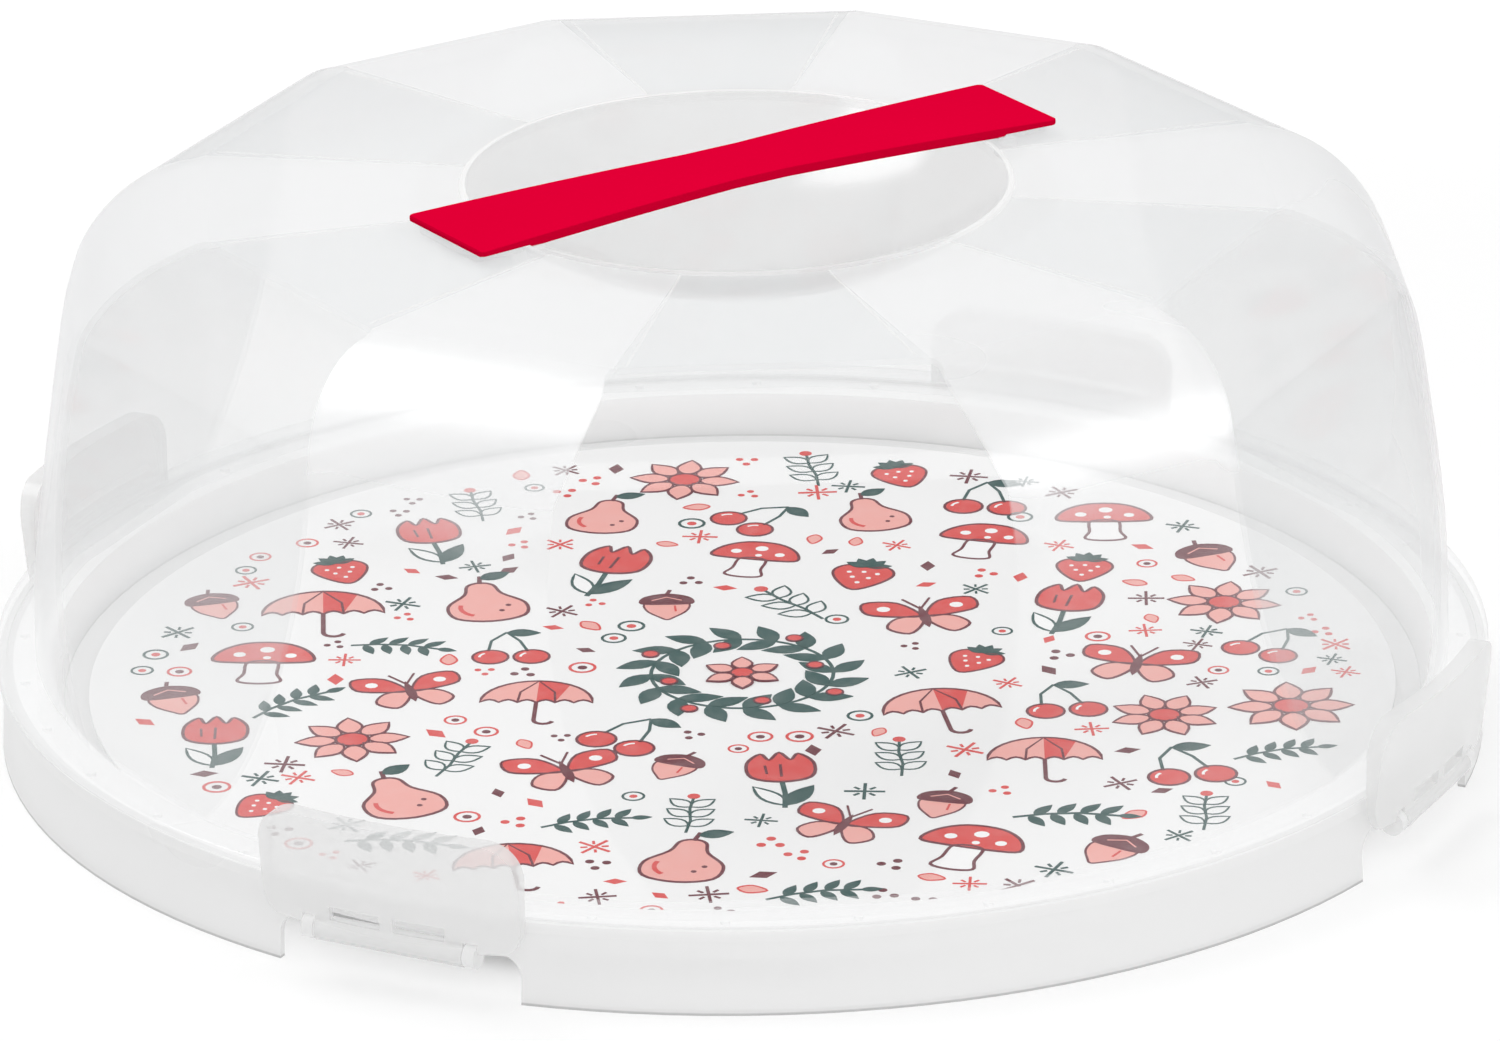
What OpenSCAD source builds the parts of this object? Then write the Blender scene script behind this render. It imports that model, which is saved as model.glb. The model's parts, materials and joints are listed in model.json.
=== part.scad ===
// Round cake carrier: clear faceted lid on a shallow tray, held by four hinged side latches,
// with a red carrying handle over a finger recess in the middle of the lid.
// Millimetres. +Z is up, the origin is the centre of the tray's base on the table,
// +X points at the right-hand latch and -Y at the front latch.

/* [Tray] */

// Outer radius of the tray skirt where it stands on the table
tray_r = 170; // [150:1:200]
// Height of the tray's rim lip above the table
tray_h = 20.2; // [16:0.1:30]
// Wall thickness of the tray
tray_wall = 1.8; // [1.2:0.1:3]
// How far the rim bead stands out past the foot of the skirt
bead_out = 0.4; // [0.2:0.1:1.5]
// Height of the rim bead
bead_h = 3.2; // [2:0.1:6]
// How far the skirt leans in from its foot to the bead
skirt_draft = 0.9; // [0:0.1:3]
// Width of the flat rim shelf that carries the lid
shelf_w = 12.2; // [9:0.1:20]
// Depth of the rim shelf below the rim lip
shelf_drop = 0.8; // [0.4:0.1:2]
// Height of the underside of the tray's floor above the table
floor_z = 7.6; // [4:0.1:12]
// How far the inside wall of the tray leans in at the floor
inner_draft = 2.6; // [0:0.1:6]
// Number of small locating nubs on the rim shelf
nub_count = 36; // [12:1:60]
// Radius of a locating nub
nub_r = 1.1; // [0.6:0.1:2]
// Depth of the stiffening ribs under the floor
rib_depth = 4; // [2:0.1:6]
// Thickness of the stiffening ribs under the floor
rib_t = 1.6; // [1:0.1:3]

/* [Printed floor disc] */

// Gap between the printed disc and the foot of the tray's inside wall
disc_gap = 5.6; // [1:0.1:30]
// Thickness of the printed disc
disc_t = 0.6; // [0.4:0.1:1.5]

/* [Skirt notches and hinges] */

// Width of the notch in the skirt below each latch
notch_w = 59; // [50:1:70]
// Height of the notch in the skirt below each latch
notch_h = 11; // [8:0.1:14]
// Corner radius of the notch
notch_corner = 5; // [2:0.1:8]
// Radius of the hinge rod that is moulded on the tray
rod_r = 1.5; // [1:0.05:2.5]
// Running clearance between the hinge rod and the latch's bore
rod_clear = 0.05; // [0.02:0.01:0.1]
// Height of the hinge rod's axis above the table
hinge_z = 11; // [9:0.1:14]
// Length of the latch's hinge barrel
barrel_len = 36; // [24:1:44]
// Wall thickness of the latch's hinge barrel
barrel_wall = 1.25; // [0.8:0.05:2]
// Thickness of each ear that holds the hinge rod
ear_t = 2.8; // [2:0.1:4]
// Side gap between the hinge barrel and the ears
ear_gap = 0.3; // [0.2:0.05:0.6]

/* [Lid] */

// Height of the lid's flat top above the table
lid_top = 129.9; // [100:0.1:200]
// Wall thickness of the lid
lid_wall = 1.5; // [1:0.1:3]
// Gap between the lid's flange and the tray's rim lip
flange_gap = 0.3; // [0.2:0.05:0.6]
// Thickness of the lid's flange
flange_t = 2.2; // [1.5:0.1:4]
// How far the lid's flange stands out past the rim bead
flange_out = 0.6; // [0.3:0.1:2]
// How far inside the tray's foot the lid's round wall stands at the flange
wall_inset = 8.2; // [6:0.1:20]
// Radius of the gentle bulge of the lid's wall
wall_bulge_r = 380; // [300:5:800]
// How far inside the wall's foot the sharp outer edge of the top lies
edge_inset = 43.8; // [30:0.1:60]
// Slope of the flat panels' shoulder just below their sharp edge
edge_slope = 14; // [8:1:30]
// How far inside the round wall a flat panel stands at the flange
flat_inset = 2.3; // [0.5:0.1:10]
// Lean of the flat panels from upright
flat_lean = 10.2; // [5:0.1:15]
// How far outside the round wall a soft panel's line meets the flange
soft_outset = 2.2; // [1.7:0.1:5]
// Slope of a soft panel where it meets the flat top
soft_slope = 9; // [6:0.5:20]
// Lean of the soft panels from upright
soft_lean = 8.5; // [5:0.1:15]
// Width of the raised line along each crease of the lid's top
crease_w = 1.2; // [0.6:0.1:3]
// Height of the raised line along each crease of the lid's top
crease_h = 0.35; // [0.2:0.05:1]

/* [Finger recess] */

// Radius of the finger recess at the lid's top
recess_r = 60.5; // [45:0.5:75]
// Depth of the finger recess
recess_depth = 21; // [12:0.5:30]
// Width of the raised lip round the recess
lip_w = 2.2; // [1:0.1:5]
// Height of the raised lip round the recess
lip_h = 0.8; // [0.4:0.1:2]

/* [Handle] */

// Length of the handle
handle_len = 156; // [140:1:200]
// Width of the handle at its ends
handle_end_w = 31; // [24:0.5:45]
// Width of the handle at its waist
handle_waist_w = 21; // [14:0.5:30]
// Length of the straight middle of the handle's waist
waist_len = 14; // [4:1:40]
// Thickness of the handle's plate
handle_t = 2.4; // [1.6:0.1:5]
// How far the middle of the handle arches above its ends
handle_arch = 1.4; // [0.5:0.1:5]
// Length of the thin tab at each end of the handle
tab_len = 14; // [8:0.5:30]
// Thickness of the thin tab at each end of the handle
tab_t = 1.4; // [1:0.1:3]
// Gap between the handle's plate and the lip of the recess
handle_gap = 0.5; // [0.3:0.1:2]
// Radius of the low pegs that the handle sits on
peg_r = 2.2; // [1.5:0.1:4]
// Distance of the pegs from the handle's centre
peg_d = 69.5; // [60:0.5:80]
// Sideways distance of the pegs from the handle's long axis
peg_side = 8; // [4:0.5:14]
// Clearance between each peg and its socket in the handle
peg_clear = 0.1; // [0.05:0.01:0.3]

/* [Latches] */

// Width of a latch
latch_w = 63; // [50:1:80]
// Height of the latch's lower edge above the table
latch_z0 = 10.8; // [8:0.1:14]
// Height of the latch's upper edge above the table
latch_z1 = 38.5; // [30:0.1:50]
// Gap between the latch's inner side and the lid's flange
latch_gap = 0.6; // [0.4:0.05:1.5]
// Depth of the latch at its lower edge
latch_depth = 1.4; // [1:0.1:3]
// How far the latch leans outward from its lower to its upper edge
latch_lean = 3; // [0:0.1:6]
// Wall thickness of the latch
latch_t = 1.5; // [1:0.1:2.5]
// Corner radius of the latch
latch_corner = 8.5; // [3:0.1:12]
// Length of the snap ridge inside the latch
ridge_len = 52; // [30:1:56]
// How far the snap ridge reaches in from the latch's rim
ridge_reach = 0.1; // [0.05:0.05:0.3]
// Height of the snap ridge
ridge_h = 2.4; // [1.5:0.1:4]
// Gap between the snap ridge and the top of the lid's flange
ridge_gap = 0.3; // [0.2:0.05:0.6]
// Width of each window above the hinge barrel
window_w = 12.4; // [6:0.1:15]
// Height of each window above the hinge barrel
window_h = 3.2; // [2:0.1:6]
// Width of the bridge between the two windows
bridge_w = 3.2; // [2:0.1:8]

/* [Hidden] */

$fn = 96;
far = 400;

// tray
bead_r = tray_r + bead_out;
bead_z = tray_h - bead_h;
skirt_top_r = tray_r - skirt_draft;
lip_ring_w = tray_wall;
shelf_z = tray_h - shelf_drop;
shelf_r0 = bead_r - shelf_w;
floor_top = floor_z + tray_wall;
floor_r = shelf_r0 - inner_draft;
disc_r = floor_r - disc_gap;
nub_ring_r = shelf_r0 + shelf_w * 0.55;
chamfer = 0.4;

// lid flange and wall
flange_z0 = tray_h + flange_gap;
flange_z1 = flange_z0 + flange_t;
flange_r = bead_r + flange_out;
wall_foot_r = tray_r - wall_inset;
wall_axis_r = wall_foot_r - wall_bulge_r;
edge_d = wall_foot_r - edge_inset;

// flat panels: the bevel below the sharp edge runs into an arc, and the arc runs
// tangent into the leaning wall
bevel_w = 4;
bevel_d = edge_d + bevel_w;
bevel_z = lid_top - bevel_w * tan(edge_slope);
flat_foot_d = wall_foot_r - flat_inset;
flat_foot_n = flat_foot_d * cos(flat_lean) + flange_z1 * sin(flat_lean);
bevel_n = bevel_d * cos(flat_lean) + bevel_z * sin(flat_lean);
flat_arc_r = (flat_foot_n - bevel_n) / (1 - sin(edge_slope + flat_lean));
flat_axis_d = bevel_d - flat_arc_r * sin(edge_slope);
flat_axis_z = bevel_z - flat_arc_r * cos(edge_slope);

// soft panels: the arc's crown lies just above the flat top, which it crosses at soft_slope
crown = 0.5;
soft_arc_r = crown / (1 - cos(soft_slope));
soft_axis_z = lid_top + crown - soft_arc_r;
soft_foot_d = wall_foot_r + soft_outset;
soft_foot_n = soft_foot_d * cos(soft_lean) + flange_z1 * sin(soft_lean);
soft_axis_n = soft_foot_n - soft_arc_r;
soft_axis_d = (soft_axis_n - soft_axis_z * sin(soft_lean)) / cos(soft_lean);

// creases between the twelve panels
panel_angle = 30;
crease_end_r = edge_d / cos(panel_angle / 2) - 1;

// finger recess: a bowl cut by a sphere
bowl_r = (recess_r * recess_r + recess_depth * recess_depth) / (2 * recess_depth);
bowl_z = lid_top + bowl_r - recess_depth;
lip_r = recess_r + lip_w;

// handle: it lies over two opposite flat panels
handle_turn = 60;
handle_top = lid_top + lip_h + handle_gap + handle_t;
half_len = handle_len / 2;
arch_r = (half_len * half_len + handle_arch * handle_arch) / (2 * handle_arch);
tab_z = handle_top - tab_t;
pad_w = handle_end_w - 7;
pad_x0 = half_len - tab_len + 0.5;
pad_x1 = half_len - 1;
socket_r = peg_r + peg_clear;
boss_r = peg_r + 1.3;
boss_z = lid_top - lid_wall - 4;
peg_h = tab_t / 2 - 0.1;
clip_w = 2.6;
clip_l = 4;

// latch and hinge
latch_r = flange_r + latch_gap;
hinge_r = latch_r - 1;
bore_r = rod_r + rod_clear;
barrel_r = bore_r + barrel_wall;
ear_y0 = barrel_len / 2 + ear_gap;
ear_y1 = ear_y0 + ear_t;
slot_y0 = barrel_len / 2;
slot_y1 = ear_y1 + ear_gap;
barrel_top = hinge_z + barrel_r;
pocket_z = barrel_top + 0.5;
slot_z = barrel_top + 0.6;
window_z = barrel_top + 0.3;
ridge_z = flange_z1 + ridge_gap;
cut_depth = 20;

// ---- tray -------------------------------------------------------------------------

// Half section of the tray: skirt, rim bead, rim shelf, inside wall and floor.
module tray_section() {
    polygon([
        [tray_r - tray_wall, 0],
        [tray_r, 0],
        [skirt_top_r, bead_z],
        [bead_r, bead_z + chamfer],
        [bead_r, tray_h - chamfer],
        [bead_r - chamfer, tray_h],
        [bead_r - lip_ring_w, tray_h],
        [bead_r - lip_ring_w, shelf_z],
        [shelf_r0, shelf_z],
        [floor_r, floor_top],
        [0, floor_top],
        [0, floor_z],
        [floor_r + tray_wall, floor_z],
        [shelf_r0 + tray_wall, shelf_z - tray_wall],
        [skirt_top_r - tray_wall, shelf_z - tray_wall]
    ]);
}

// Outline of a skirt notch, seen from outside: square at the table, round above.
module notch_outline() {
    translate([-notch_w / 2, -1])
        square([notch_w, notch_h - notch_corner + 1]);
    translate([-notch_w / 2 + notch_corner, 0])
        square([notch_w - 2 * notch_corner, notch_h]);
    for (side = [-1, 1])
        translate([side * (notch_w / 2 - notch_corner), notch_h - notch_corner])
            circle(r = notch_corner);
}

// What is cut from the skirt under one latch: the notch and the hinge's pocket.
module skirt_cut() {
    cut_x = shelf_r0 + tray_wall + 2.6;
    cut_l = bead_r + 2 - cut_x;
    translate([cut_x, 0, 0])
        rotate([90, 0, 90])
            linear_extrude(height = cut_l)
                notch_outline();
    translate([cut_x, -ear_y0, notch_h - 1])
        cube([cut_l, 2 * ear_y0, pocket_z - notch_h + 1]);
}

// The two ears and the hinge rod that the tray has at one latch.
module hinge_rod() {
    ear_x0 = skirt_top_r - tray_wall;
    for (side = [-1, 1])
        translate([0, side > 0 ? ear_y0 : -ear_y1, 0]) {
            translate([hinge_r, 0, hinge_z])
                rotate([-90, 0, 0])
                    cylinder(r = barrel_r - 0.1, h = ear_t);
            translate([ear_x0, 0, hinge_z])
                cube([bead_r - ear_x0, ear_t, bead_z + 1 - hinge_z]);
        }
    translate([hinge_r, -ear_y1 + 0.5, hinge_z])
        rotate([-90, 0, 0])
            cylinder(r = rod_r, h = 2 * ear_y1 - 1);
}

// Stiffening ribs under the floor: two rings and eight spokes.
module floor_ribs() {
    rib_z = floor_z - rib_depth;
    for (ring_r = [disc_r * 0.4, disc_r * 0.75])
        translate([0, 0, rib_z])
            difference() {
                cylinder(r = ring_r + rib_t / 2, h = rib_depth + 0.5);
                translate([0, 0, -1])
                    cylinder(r = ring_r - rib_t / 2, h = rib_depth + 3);
            }
    for (k = [0 : 7])
        rotate([0, 0, 45 * k + 22.5])
            translate([disc_r * 0.4, -rib_t / 2, rib_z])
                cube([disc_r * 0.56, rib_t, rib_depth + 0.5]);
}

module tray() {
    color([0.93, 0.94, 0.95]) {
        difference() {
            rotate_extrude()
                tray_section();
            for (side = [0 : 3])
                rotate([0, 0, 90 * side])
                    skirt_cut();
        }
        for (side = [0 : 3])
            rotate([0, 0, 90 * side])
                hinge_rod();
        floor_ribs();
        for (k = [0 : nub_count - 1])
            rotate([0, 0, (k + 0.5) * 360 / nub_count])
                translate([nub_ring_r, 0, shelf_z - 0.5])
                    cylinder(r = nub_r, h = shelf_drop + 0.5);
    }
}

// Printed disc that lies on the tray's floor.
module floor_disc() {
    color([0.96, 0.95, 0.95])
        translate([0, 0, floor_top])
            cylinder(r = disc_r, h = disc_t);
}

// ---- lid --------------------------------------------------------------------------

// Round envelope of the lid's wall, moved inward by inset.
module wall_round(inset, low) {
    rotate_extrude()
        intersection() {
            translate([0, low])
                square([wall_foot_r + 1, lid_top - inset - low]);
            translate([wall_axis_r, flange_z1])
                circle(r = wall_bulge_r - inset, $fn = 360);
        }
}

// Half outline of a flat panel's prism: straight top, sharp edge, bevel, arc, leaning wall.
module flat_half(inset, low) {
    arc_r = flat_arc_r - inset;
    wall_n = flat_foot_n - inset;
    low_d = (wall_n - low * sin(flat_lean)) / cos(flat_lean);
    start_d = flat_axis_d + arc_r * sin(edge_slope);
    start_z = flat_axis_z + arc_r * cos(edge_slope);
    reach = 30;
    polygon([
        [-1, low],
        [low_d, low],
        [flat_axis_d + arc_r * cos(flat_lean), flat_axis_z + arc_r * sin(flat_lean)],
        [flat_axis_d, flat_axis_z],
        [start_d, start_z],
        [start_d - reach * cos(edge_slope), start_z + reach * sin(edge_slope)],
        [-1, start_z + reach * sin(edge_slope)]
    ]);
    translate([flat_axis_d, flat_axis_z])
        circle(r = arc_r);
}

// Half outline of a soft panel's prism: one large arc from the flat top to the leaning wall.
module soft_half(inset, low) {
    arc_r = soft_arc_r - inset;
    wall_n = soft_foot_n - inset;
    low_d = (wall_n - low * sin(soft_lean)) / cos(soft_lean);
    polygon([
        [-1, low],
        [low_d, low],
        [soft_axis_d + arc_r * cos(soft_lean), soft_axis_z + arc_r * sin(soft_lean)],
        [soft_axis_d, soft_axis_z],
        [soft_axis_d, lid_top + 6],
        [-1, lid_top + 6]
    ]);
    translate([soft_axis_d, soft_axis_z])
        circle(r = arc_r);
}

// Solid shape of the twelve-sided dome, moved inward by inset, from height low upward.
module dome(inset, low) {
    intersection() {
        wall_round(inset, low);
        for_flat(0, inset, low);
        for_flat(1, inset, low);
        for_flat(2, inset, low);
        for_soft(0, inset, low);
        for_soft(1, inset, low);
        for_soft(2, inset, low);
    }
}

// One prism that makes two opposite flat panels.
module for_flat(k, inset, low) {
    rotate([0, 0, 2 * panel_angle * k])
        rotate([90, 0, 0])
            linear_extrude(height = far, center = true) {
                flat_half(inset, low);
                mirror([1, 0])
                    flat_half(inset, low);
            }
}

// One prism that makes two opposite soft panels.
module for_soft(k, inset, low) {
    rotate([0, 0, 2 * panel_angle * k + panel_angle])
        rotate([90, 0, 0])
            linear_extrude(height = far, center = true) {
                soft_half(inset, low);
                mirror([1, 0])
                    soft_half(inset, low);
            }
}

// Flange round the foot of the lid.
module lid_flange() {
    rotate_extrude()
        polygon([
            [0, flange_z0],
            [flange_r, flange_z0],
            [flange_r, flange_z1 - chamfer],
            [flange_r - chamfer, flange_z1],
            [0, flange_z1]
        ]);
}

// Empty inside of the lid, with the underside of the finger recess standing in it.
module lid_hollow() {
    difference() {
        dome(lid_wall, flange_z0 - 1);
        translate([0, 0, bowl_z])
            sphere(r = bowl_r + lid_wall);
    }
}

// Raised lip round the finger recess.
module recess_lip() {
    translate([0, 0, lid_top - 0.5])
        cylinder(r1 = lip_r + 0.5, r2 = lip_r - 0.3, h = lip_h + 0.5);
}

// Raised line along one crease of the lid's top.
module crease_line() {
    translate([lip_r - 1, 0, lid_top])
        rotate([90, 0, 90])
            linear_extrude(height = crease_end_r - lip_r + 1)
                polygon([
                    [-crease_w / 2, -crease_h],
                    [crease_w / 2, -crease_h],
                    [0, crease_h]
                ]);
}

// Pad, side clips, pegs and bosses that the lid has under one end of the handle.
module handle_seat() {
    translate([pad_x0, -pad_w / 2, lid_top - 0.5])
        cube([pad_x1 - pad_x0, pad_w, tab_z - lid_top + 0.5]);
    clip_x = lip_r - 1;
    clip_y = handle_half_w(clip_x + clip_l) + 0.3;
    for (side = [-1, 1])
        translate([clip_x, side > 0 ? clip_y : -clip_y - clip_w, lid_top - 0.5])
            cube([clip_l, clip_w, tab_z - lid_top + 0.5]);
    for (side = [-1, 1])
        translate([peg_d, side * peg_side, boss_z]) {
            cylinder(r = boss_r, h = lid_top - boss_z);
            cylinder(r = peg_r, h = tab_z + peg_h - boss_z);
        }
}

module lid() {
    color([0.95, 0.96, 0.97, 0.35])
        difference() {
            union() {
                difference() {
                    union() {
                        dome(0, flange_z0);
                        lid_flange();
                    }
                    lid_hollow();
                }
                recess_lip();
                for (k = [0 : 11])
                    rotate([0, 0, panel_angle * (k + 0.5)])
                        crease_line();
                for (end = [0, 1])
                    rotate([0, 0, handle_turn + 180 * end])
                        handle_seat();
            }
            translate([0, 0, bowl_z])
                sphere(r = bowl_r);
        }
}

// ---- handle -----------------------------------------------------------------------

// Half width of the handle at the distance x from its middle.
function handle_half_w(x) =
    handle_waist_w / 2
    + (handle_end_w - handle_waist_w) / 2 * (x - waist_len / 2) / (half_len - waist_len / 2);

// Outline of the handle, seen from above.
module handle_outline() {
    polygon([
        [-half_len, -handle_end_w / 2],
        [-waist_len / 2, -handle_waist_w / 2],
        [waist_len / 2, -handle_waist_w / 2],
        [half_len, -handle_end_w / 2],
        [half_len, handle_end_w / 2],
        [waist_len / 2, handle_waist_w / 2],
        [-waist_len / 2, handle_waist_w / 2],
        [-half_len, handle_end_w / 2]
    ]);
}

// Height of an arc through both ends of the handle, at the distance x from its middle.
function arch_z(x) = handle_arch - (arch_r - sqrt(arch_r * arch_r - x * x));

// Side view of the handle: an arched plate with a thinner tab at each end.
module handle_side() {
    steps = 26;
    pitch = handle_len / steps;
    bar_half = half_len - tab_len;
    bar_steps = 20;
    bar_pitch = 2 * bar_half / bar_steps;
    top = [for (k = [0 : steps]) [-half_len + k * pitch, handle_top + arch_z(-half_len + k * pitch)]];
    low = [for (k = [0 : bar_steps])
        [bar_half - k * bar_pitch, handle_top + arch_z(bar_half - k * bar_pitch) - handle_t]];
    polygon(concat(
        top,
        [[half_len, tab_z], [bar_half, tab_z]],
        low,
        [[-bar_half, tab_z], [-half_len, tab_z]]
    ));
}

module handle() {
    color([0.86, 0.02, 0.16])
        rotate([0, 0, handle_turn])
            difference() {
                intersection() {
                    translate([0, 0, tab_z - 8])
                        linear_extrude(height = 20)
                            handle_outline();
                    rotate([90, 0, 0])
                        linear_extrude(height = 2 * handle_end_w, center = true)
                            handle_side();
                }
                for (end = [-1, 1])
                    for (side = [-1, 1])
                        translate([end * peg_d, side * peg_side, tab_z - 1])
                            cylinder(r = socket_r, h = peg_h + peg_clear + 1);
            }
}

// ---- latches ----------------------------------------------------------------------

// Outer radius of a latch at height z.
function latch_out(z) =
    latch_r + latch_depth + latch_lean * (z - latch_z0) / (latch_z1 - latch_z0);

// Outline of a latch, seen from outside, moved inward by inset.
module latch_outline(inset) {
    w = latch_w - 2 * inset;
    h = latch_z1 - latch_z0 - 2 * inset;
    c = latch_corner - inset;
    translate([-w / 2, latch_z0 + inset + c])
        square([w, h - 2 * c]);
    translate([-w / 2 + c, latch_z0 + inset])
        square([w - 2 * c, h]);
    for (sx = [-1, 1])
        for (top = [0, 1])
            translate([sx * (w / 2 - c), top ? latch_z1 - inset - c : latch_z0 + inset + c])
                circle(r = c);
}

// Solid between two cones round the tray's axis, cut to the latch's outline.
module latch_block(inset, inner, outer_off) {
    intersection() {
        rotate([0, 0, -15])
            rotate_extrude(angle = 30)
                polygon([
                    [inner, latch_z0 - 1],
                    [latch_out(latch_z0 - 1) - outer_off, latch_z0 - 1],
                    [latch_out(latch_z1 + 1) - outer_off, latch_z1 + 1],
                    [inner, latch_z1 + 1]
                ]);
        translate([latch_r - cut_depth, 0, 0])
            rotate([90, 0, 90])
                linear_extrude(height = 2 * cut_depth)
                    latch_outline(inset);
    }
}

// Ridge inside the latch that lies over the lid's flange when the latch is shut.
module snap_ridge() {
    tip_r = latch_r - ridge_reach;
    back_r = latch_out(ridge_z) - latch_t / 2;
    intersection() {
        rotate([0, 0, -15])
            rotate_extrude(angle = 30)
                polygon([
                    [tip_r, ridge_z],
                    [back_r, ridge_z],
                    [back_r, ridge_z + ridge_h],
                    [tip_r, ridge_z + ridge_h * 0.5]
                ]);
        translate([latch_r - cut_depth, -ridge_len / 2, 0])
            cube([2 * cut_depth, ridge_len, latch_z1]);
    }
}

// One latch, at +X, with its hinge axis along Y.
module latch() {
    color([0.95, 0.96, 0.97, 0.4])
        difference() {
            union() {
                difference() {
                    latch_block(0, latch_r, 0);
                    latch_block(latch_t, latch_r - 5, latch_t);
                }
                snap_ridge();
                translate([hinge_r, -barrel_len / 2, hinge_z])
                    rotate([-90, 0, 0])
                        cylinder(r = barrel_r, h = barrel_len);
            }
            translate([hinge_r, -latch_w / 2, hinge_z])
                rotate([-90, 0, 0])
                    cylinder(r = bore_r, h = latch_w);
            for (side = [-1, 1])
                translate([latch_r - cut_depth, side > 0 ? slot_y0 : -slot_y1, 0])
                    cube([2 * cut_depth, slot_y1 - slot_y0, slot_z]);
            for (side = [-1, 1])
                translate([latch_r - cut_depth, side > 0 ? bridge_w / 2 : -bridge_w / 2 - window_w, window_z])
                    cube([2 * cut_depth, window_w, window_h]);
        }
}

module latch_right() {
    latch();
}

module latch_rear() {
    rotate([0, 0, 90])
        latch();
}

module latch_left() {
    rotate([0, 0, 180])
        latch();
}

module latch_front() {
    rotate([0, 0, 270])
        latch();
}

tray();
floor_disc();
lid();
handle();
latch_front();
latch_right();
latch_rear();
latch_left();
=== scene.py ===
# %% [markdown]
# # A clear cake carrier with a faceted dome
#
# The object is a shallow milky tray, a clear dome lid of twelve panels, four clip latches and a red bar
# handle. The solids come from the CAD model, which also says where everything is. This lesson dresses them:
# it rebuilds the dome as a smooth shell, gives every plastic its finish, draws the pattern on the floor, and
# sets up a white studio.

import json
import math

import bmesh
import bpy
import numpy as np
from mathutils import Matrix, Vector

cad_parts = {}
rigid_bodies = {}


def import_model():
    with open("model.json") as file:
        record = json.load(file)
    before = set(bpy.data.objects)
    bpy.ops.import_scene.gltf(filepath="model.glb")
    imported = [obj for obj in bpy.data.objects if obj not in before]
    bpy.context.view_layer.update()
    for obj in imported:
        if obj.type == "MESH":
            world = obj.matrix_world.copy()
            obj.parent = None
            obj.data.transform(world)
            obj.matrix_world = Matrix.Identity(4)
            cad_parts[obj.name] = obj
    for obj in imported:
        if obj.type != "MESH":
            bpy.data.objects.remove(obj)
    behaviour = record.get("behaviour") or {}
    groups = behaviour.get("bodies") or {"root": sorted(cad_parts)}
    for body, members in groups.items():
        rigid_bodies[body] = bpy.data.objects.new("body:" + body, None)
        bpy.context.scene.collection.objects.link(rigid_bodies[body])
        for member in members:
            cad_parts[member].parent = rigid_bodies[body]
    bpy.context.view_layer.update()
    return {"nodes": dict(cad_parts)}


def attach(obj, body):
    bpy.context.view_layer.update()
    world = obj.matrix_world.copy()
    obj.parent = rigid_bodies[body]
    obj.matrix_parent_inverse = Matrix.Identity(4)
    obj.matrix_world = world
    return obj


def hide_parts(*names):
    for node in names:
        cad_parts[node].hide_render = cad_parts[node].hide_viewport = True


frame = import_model()
MM = 0.001


# %% [markdown]
# ## Small tools for meshes
#
# Sizes are written in millimetres, as on the drawing, and turned into metres at the last moment. Most shapes
# here are a stack of rings: each ring is a closed row of points, and neighbouring rings are joined by
# four-sided faces. That keeps the mesh even, so that gloss runs smoothly over it, which loose triangles from
# CAD don't allow.

# %% Make an object from points and faces
def put(name, data):
    """An object of the scene that holds data."""
    made = bpy.data.objects.new(name, data)
    bpy.context.scene.collection.objects.link(made)
    return made


def new_object(name, points, faces, flat=False):
    """A mesh object at the origin from points in millimetres."""
    mesh = bpy.data.meshes.new(name)
    mesh.from_pydata([[c * MM for c in p] for p in points], [], faces)
    mesh.validate()
    if not flat:
        mesh.shade_smooth()
    return put(name, mesh)


# %% Circles, arcs and turned outlines
def around(x, y, radius, angles):
    return [(x + radius * math.cos(t), y + radius * math.sin(t)) for t in angles]


def circle(x, y, radius, count=20):
    return around(x, y, radius, np.linspace(0, math.tau, count, endpoint=False))


def arc(x, y, radius, start, end, count):
    return around(x, y, radius, np.radians(np.linspace(start, end, count)))


def turned(points, degrees, x=0.0, y=0.0):
    c, s = math.cos(math.radians(degrees)), math.sin(math.radians(degrees))
    return [(x + c * px - s * py, y + s * px + c * py) for px, py in points]


def spun(points, angle):
    """Points in space, turned about the object's axis."""
    c, s = math.cos(angle), math.sin(angle)
    return [(c * x - s * y, s * x + c * y, z) for x, y, z in points]


# %% Join rings of points with faces
def ring_faces(ring_count, columns, close_first=False, close_last=False):
    """Faces between neighbouring rings; an end can be closed with a fan round one more point."""
    faces = []
    for ring in range(ring_count - 1):
        for c in range(columns):
            a, b = ring * columns + c, ring * columns + (c + 1) % columns
            faces.append((a, b, b + columns, a + columns))
    middle = ring_count * columns
    if close_first:
        faces += [(middle, (c + 1) % columns, c) for c in range(columns)]
        middle += 1
    if close_last:
        last = (ring_count - 1) * columns
        faces += [(middle, last + c, last + (c + 1) % columns) for c in range(columns)]
    return faces


# %% Mark the edges that stay crisp, and turn faces outward
def crisp(made, degrees, wanted=None):
    """Edges bent by more than degrees shade sharp, and so do those that wanted(v0, v1) picks."""
    bm = bmesh.new()
    bm.from_mesh(made.data)
    bm.normal_update()
    limit, count = math.radians(degrees), 0
    for edge in bm.edges:
        bent = len(edge.link_faces) == 2 and edge.calc_face_angle(0) > limit
        if bent or (wanted and wanted(edge.verts[0].index, edge.verts[1].index)):
            edge.smooth = False
            count += 1
    bm.to_mesh(made.data)
    bm.free()
    print(made.name, "crisp edges:", count)
    return made


def face_outward(made):
    bm = bmesh.new()
    bm.from_mesh(made.data)
    bmesh.ops.recalc_face_normals(bm, faces=bm.faces)
    bm.to_mesh(made.data)
    bm.free()
    return made


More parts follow.
